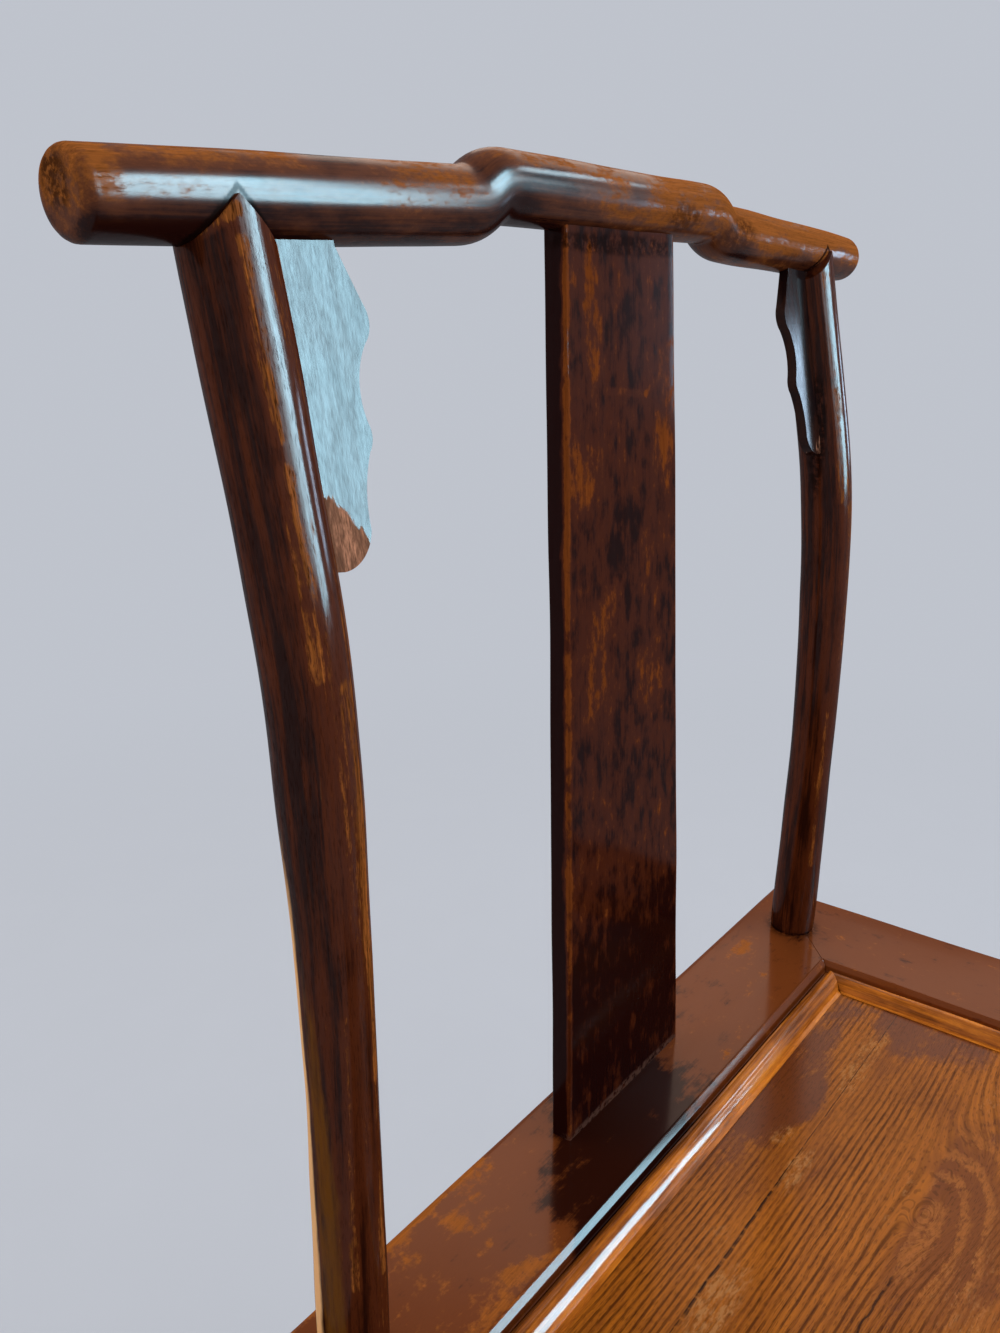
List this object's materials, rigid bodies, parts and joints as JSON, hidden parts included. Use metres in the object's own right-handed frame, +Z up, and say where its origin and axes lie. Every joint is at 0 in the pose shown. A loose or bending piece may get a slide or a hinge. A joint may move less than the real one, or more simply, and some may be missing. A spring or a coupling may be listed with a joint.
{
  "type": "official hat chair",
  "caption": "Armless wooden chair with a raised-centre crest rail, curved round posts, plain splat, cusped spandrels, a framed panel seat and splayed round legs.",
  "frame": {"origin": "on the floor, under the middle of the whole chair", "axes": "+Z up, +X to the right of a person looking at the front, the front towards -Y"},
  "size_m": [0.5858, 0.4528, 1.01],
  "materials": {
    "dark_lacquer": "glossy dark brown lacquer over open-pored wood, worn to orange brown on edges",
    "worn_lacquer": "glossy lacquer worn to orange brown, with dark pores",
    "frame_lacquer": "glossy reddish brown lacquer, lightly worn",
    "seat_wood": "glossy golden brown wood with dark grain and a knot",
    "bare_wood": "unlacquered wood under the seat"
  },
  "bodies": {
    "root": {"back_splat": "dark_lacquer", "batten_left": "bare_wood", "batten_right": "bare_wood", "bead_strip_front": "worn_lacquer", "bead_strip_left": "worn_lacquer", "bead_strip_rear": "worn_lacquer", "bead_strip_right": "worn_lacquer", "crest_rail": "worn_lacquer", "footrest": "dark_lacquer", "footrest_apron": "dark_lacquer", "front_apron": "dark_lacquer", "front_jamb_left": "dark_lacquer", "front_jamb_right": "dark_lacquer", "front_leg_left": "dark_lacquer", "front_leg_right": "dark_lacquer", "rear_apron": "dark_lacquer", "rear_apron_ear_left": "dark_lacquer", "rear_apron_ear_right": "dark_lacquer", "rear_post_left": "dark_lacquer", "rear_post_right": "dark_lacquer", "rear_stretcher": "dark_lacquer", "seat_panel": "seat_wood", "seat_rail_front": "frame_lacquer", "seat_rail_left": "frame_lacquer", "seat_rail_rear": "frame_lacquer", "seat_rail_right": "frame_lacquer", "side_apron_left": "dark_lacquer", "side_apron_left_ear_front": "dark_lacquer", "side_apron_left_ear_rear": "dark_lacquer", "side_apron_right": "dark_lacquer", "side_apron_right_ear_front": "dark_lacquer", "side_apron_right_ear_rear": "dark_lacquer", "side_stretcher_left": "dark_lacquer", "side_stretcher_right": "dark_lacquer", "spandrel_left": "dark_lacquer", "spandrel_right": "dark_lacquer"}
  },
  "joints": []
}
